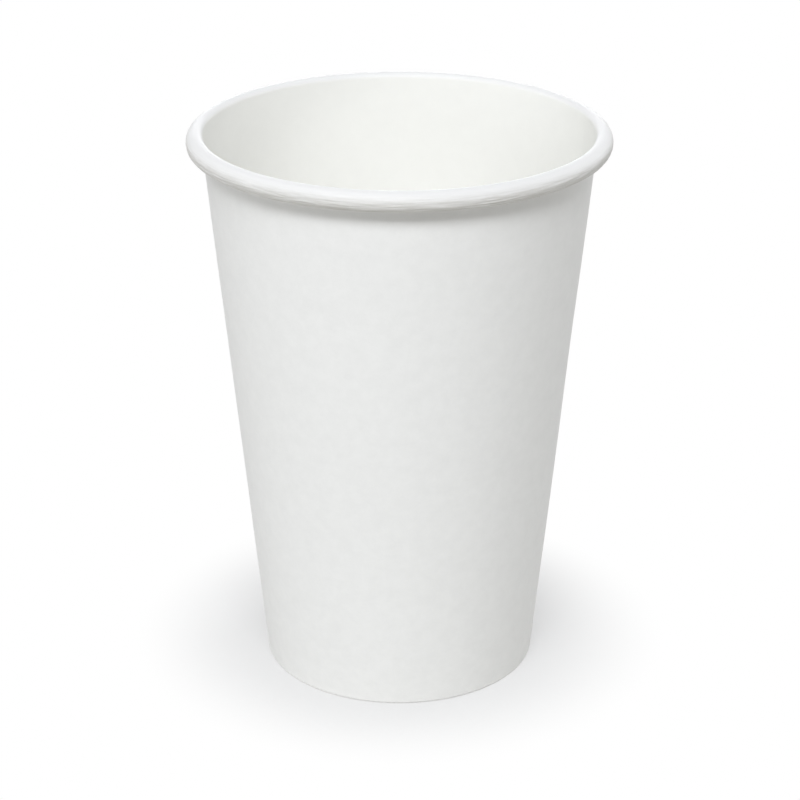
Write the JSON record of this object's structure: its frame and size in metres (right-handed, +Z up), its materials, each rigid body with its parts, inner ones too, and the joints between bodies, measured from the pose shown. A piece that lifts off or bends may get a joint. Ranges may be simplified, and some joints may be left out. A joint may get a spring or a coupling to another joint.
{
  "type": "paper coffee cup",
  "caption": "Tapered single-wall paper cup for hot drinks, with a rolled rim, a lapped side seam and a recessed bottom.",
  "frame": {"origin": "centre of the foot ring on the table", "axes": "+Z up along the cup's axis, towards its open mouth; the lap seam is on the +X side"},
  "size_m": [0.09, 0.09, 0.122],
  "materials": {
    "wall_board": "matte",
    "bottom_board": "matte"
  },
  "bodies": {
    "root": {"sidewall": "wall_board", "bottom_disc": "bottom_board"}
  },
  "joints": []
}
